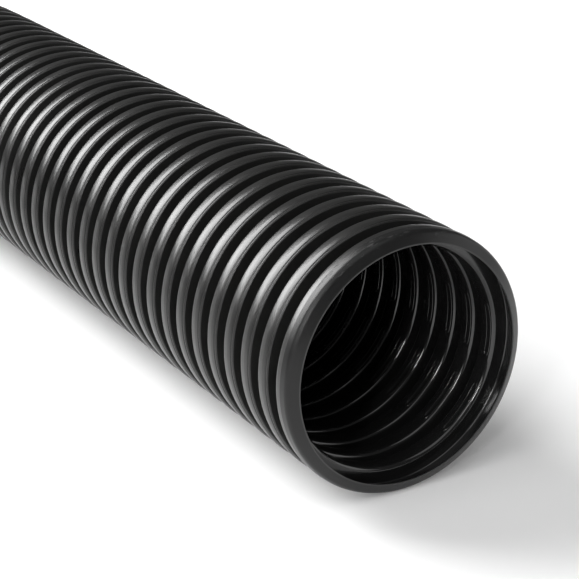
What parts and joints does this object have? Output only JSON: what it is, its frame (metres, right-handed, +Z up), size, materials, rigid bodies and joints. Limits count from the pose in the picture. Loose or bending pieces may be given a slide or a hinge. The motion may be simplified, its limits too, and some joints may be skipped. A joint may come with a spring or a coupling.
{
  "type": "vacuum hose",
  "caption": "Black ring-corrugated pool vacuum hose with a plain cut end that flexes, the rest coiled, and a swivel cuff on the far end.",
  "frame": {"origin": "bottom centre of the flexing stretch at the hose's free end, on the floor", "axes": "+X along the hose towards its open cut end, +Z up, the coil on the -Y side"},
  "size_m": [0.5552, 0.6197, 0.0943],
  "materials": {
    "crest_plastic": "gloss",
    "valley_plastic": "gloss",
    "hose_plastic": "gloss",
    "collar_plastic": "satin",
    "seal_rubber": "matte",
    "ring_plastic": "gloss",
    "cuff_plastic": "satin"
  },
  "bodies": {
    "hose_body": {"hose_run": "hose_plastic", "hose_coil": "hose_plastic", "hose_tail": "hose_plastic", "hose_collar": "collar_plastic", "seal_ring": "seal_rubber", "retaining_ring": "ring_plastic"},
    "convolution_01": {"crest_01": "crest_plastic", "valley_01": "valley_plastic"},
    "convolution_02": {"crest_02": "crest_plastic", "valley_02": "valley_plastic"},
    "convolution_03": {"crest_03": "crest_plastic", "valley_03": "valley_plastic"},
    "convolution_04": {"crest_04": "crest_plastic", "valley_04": "valley_plastic"},
    "convolution_05": {"crest_05": "crest_plastic", "valley_05": "valley_plastic"},
    "convolution_06": {"crest_06": "crest_plastic", "valley_06": "valley_plastic"},
    "convolution_07": {"crest_07": "crest_plastic", "valley_07": "valley_plastic"},
    "convolution_08": {"crest_08": "crest_plastic", "valley_08": "valley_plastic"},
    "convolution_09": {"crest_09": "crest_plastic", "valley_09": "valley_plastic"},
    "convolution_10": {"crest_10": "crest_plastic", "valley_10": "valley_plastic"},
    "convolution_11": {"crest_11": "crest_plastic", "valley_11": "valley_plastic"},
    "convolution_12": {"crest_12": "crest_plastic", "valley_12": "valley_plastic"},
    "convolution_13": {"crest_13": "crest_plastic", "valley_13": "valley_plastic"},
    "convolution_14": {"crest_14": "crest_plastic", "valley_14": "valley_plastic"},
    "convolution_15": {"crest_15": "crest_plastic", "valley_15": "valley_plastic"},
    "convolution_16": {"crest_16": "crest_plastic", "valley_16": "valley_plastic"},
    "convolution_17": {"crest_17": "crest_plastic", "valley_17": "valley_plastic"},
    "convolution_18": {"crest_18": "crest_plastic", "valley_18": "valley_plastic"},
    "swivel": {"swivel_cuff": "cuff_plastic"}
  },
  "joints": [
    {"name": "bend_up", "type": "hinge", "parent": "hose_body", "child": "convolution_18", "pos_m": [-0.04905, 0, 0.0225], "axis": [0, -0.9994, -0.0349], "range_deg": [0, 4], "stiffness_Nm_per_rad": 0.3, "deforming": ["valley_18"]},
    {"name": "bend_side", "type": "hinge", "parent": "convolution_18", "child": "convolution_17", "pos_m": [-0.04355, 0, 0.0225], "axis": [0, -0.0349, 0.9994], "range_deg": [-4, 4], "stiffness_Nm_per_rad": 0.3, "deforming": ["valley_17"]},
    {"name": "bend_up_16", "type": "hinge", "parent": "convolution_17", "child": "convolution_16", "pos_m": [-0.03805, 0, 0.0225], "axis": [0, -0.9994, -0.0349], "range_deg": [0, 4], "stiffness_Nm_per_rad": 0.3, "deforming": ["valley_16"]},
    {"name": "bend_side_15", "type": "hinge", "parent": "convolution_16", "child": "convolution_15", "pos_m": [-0.03255, 0, 0.0225], "axis": [0, -0.0349, 0.9994], "range_deg": [-4, 4], "stiffness_Nm_per_rad": 0.3, "deforming": ["valley_15"]},
    {"name": "bend_up_14", "type": "hinge", "parent": "convolution_15", "child": "convolution_14", "pos_m": [-0.02705, 0, 0.0225], "axis": [0, -0.9994, -0.0349], "range_deg": [0, 4], "stiffness_Nm_per_rad": 0.3, "deforming": ["valley_14"]},
    {"name": "bend_side_13", "type": "hinge", "parent": "convolution_14", "child": "convolution_13", "pos_m": [-0.02155, 0, 0.0225], "axis": [0, -0.0349, 0.9994], "range_deg": [-4, 4], "stiffness_Nm_per_rad": 0.3, "deforming": ["valley_13"]},
    {"name": "bend_up_12", "type": "hinge", "parent": "convolution_13", "child": "convolution_12", "pos_m": [-0.01605, 0, 0.0225], "axis": [0, -0.9994, -0.0349], "range_deg": [0, 4], "stiffness_Nm_per_rad": 0.3, "deforming": ["valley_12"]},
    {"name": "bend_side_11", "type": "hinge", "parent": "convolution_12", "child": "convolution_11", "pos_m": [-0.01055, 0, 0.0225], "axis": [0, -0.0349, 0.9994], "range_deg": [-4, 4], "stiffness_Nm_per_rad": 0.3, "deforming": ["valley_11"]},
    {"name": "bend_up_10", "type": "hinge", "parent": "convolution_11", "child": "convolution_10", "pos_m": [-0.00505, 0, 0.0225], "axis": [0, -0.9994, -0.0349], "range_deg": [0, 4], "stiffness_Nm_per_rad": 0.3, "deforming": ["valley_10"]},
    {"name": "bend_side_09", "type": "hinge", "parent": "convolution_10", "child": "convolution_09", "pos_m": [0.00045, 0, 0.0225], "axis": [0, -0.0349, 0.9994], "range_deg": [-4, 4], "stiffness_Nm_per_rad": 0.3, "deforming": ["valley_09"]},
    {"name": "bend_up_08", "type": "hinge", "parent": "convolution_09", "child": "convolution_08", "pos_m": [0.00595, 0, 0.0225], "axis": [0, -0.9994, -0.0349], "range_deg": [0, 4], "stiffness_Nm_per_rad": 0.3, "deforming": ["valley_08"]},
    {"name": "bend_side_07", "type": "hinge", "parent": "convolution_08", "child": "convolution_07", "pos_m": [0.01145, 0, 0.0225], "axis": [0, -0.0349, 0.9994], "range_deg": [-4, 4], "stiffness_Nm_per_rad": 0.3, "deforming": ["valley_07"]},
    {"name": "bend_up_06", "type": "hinge", "parent": "convolution_07", "child": "convolution_06", "pos_m": [0.01695, 0, 0.0225], "axis": [0, -0.9994, -0.0349], "range_deg": [0, 4], "stiffness_Nm_per_rad": 0.3, "deforming": ["valley_06"]},
    {"name": "bend_side_05", "type": "hinge", "parent": "convolution_06", "child": "convolution_05", "pos_m": [0.02245, 0, 0.0225], "axis": [0, -0.0349, 0.9994], "range_deg": [-4, 4], "stiffness_Nm_per_rad": 0.3, "deforming": ["valley_05"]},
    {"name": "bend_up_04", "type": "hinge", "parent": "convolution_05", "child": "convolution_04", "pos_m": [0.02795, 0, 0.0225], "axis": [0, -0.9994, -0.0349], "range_deg": [0, 4], "stiffness_Nm_per_rad": 0.3, "deforming": ["valley_04"]},
    {"name": "bend_side_03", "type": "hinge", "parent": "convolution_04", "child": "convolution_03", "pos_m": [0.03345, 0, 0.0225], "axis": [0, -0.0349, 0.9994], "range_deg": [-4, 4], "stiffness_Nm_per_rad": 0.3, "deforming": ["valley_03"]},
    {"name": "bend_up_02", "type": "hinge", "parent": "convolution_03", "child": "convolution_02", "pos_m": [0.03895, 0, 0.0225], "axis": [0, -0.9994, -0.0349], "range_deg": [0, 4], "stiffness_Nm_per_rad": 0.3, "deforming": ["valley_02"]},
    {"name": "bend_side_01", "type": "hinge", "parent": "convolution_02", "child": "convolution_01", "pos_m": [0.04445, 0, 0.0225], "axis": [0, -0.0349, 0.9994], "range_deg": [-4, 4], "stiffness_Nm_per_rad": 0.3, "deforming": ["valley_01"]},
    {"name": "cuff_swivel", "type": "hinge", "parent": "hose_body", "child": "swivel", "pos_m": [0.00611, -0.3084, 0.0701], "axis": [0, 1, 0], "continuous": true}
  ],
  "couplings": [
    {"joint": "bend_up_16", "follows": "bend_up", "ratio": 1},
    {"joint": "bend_side_15", "follows": "bend_side", "ratio": 1},
    {"joint": "bend_up_14", "follows": "bend_up", "ratio": 1},
    {"joint": "bend_side_13", "follows": "bend_side", "ratio": 1},
    {"joint": "bend_up_12", "follows": "bend_up", "ratio": 1},
    {"joint": "bend_side_11", "follows": "bend_side", "ratio": 1},
    {"joint": "bend_up_10", "follows": "bend_up", "ratio": 1},
    {"joint": "bend_side_09", "follows": "bend_side", "ratio": 1},
    {"joint": "bend_up_08", "follows": "bend_up", "ratio": 1},
    {"joint": "bend_side_07", "follows": "bend_side", "ratio": 1},
    {"joint": "bend_up_06", "follows": "bend_up", "ratio": 1},
    {"joint": "bend_side_05", "follows": "bend_side", "ratio": 1},
    {"joint": "bend_up_04", "follows": "bend_up", "ratio": 1},
    {"joint": "bend_side_03", "follows": "bend_side", "ratio": 1},
    {"joint": "bend_up_02", "follows": "bend_up", "ratio": 1},
    {"joint": "bend_side_01", "follows": "bend_side", "ratio": 1}
  ]
}
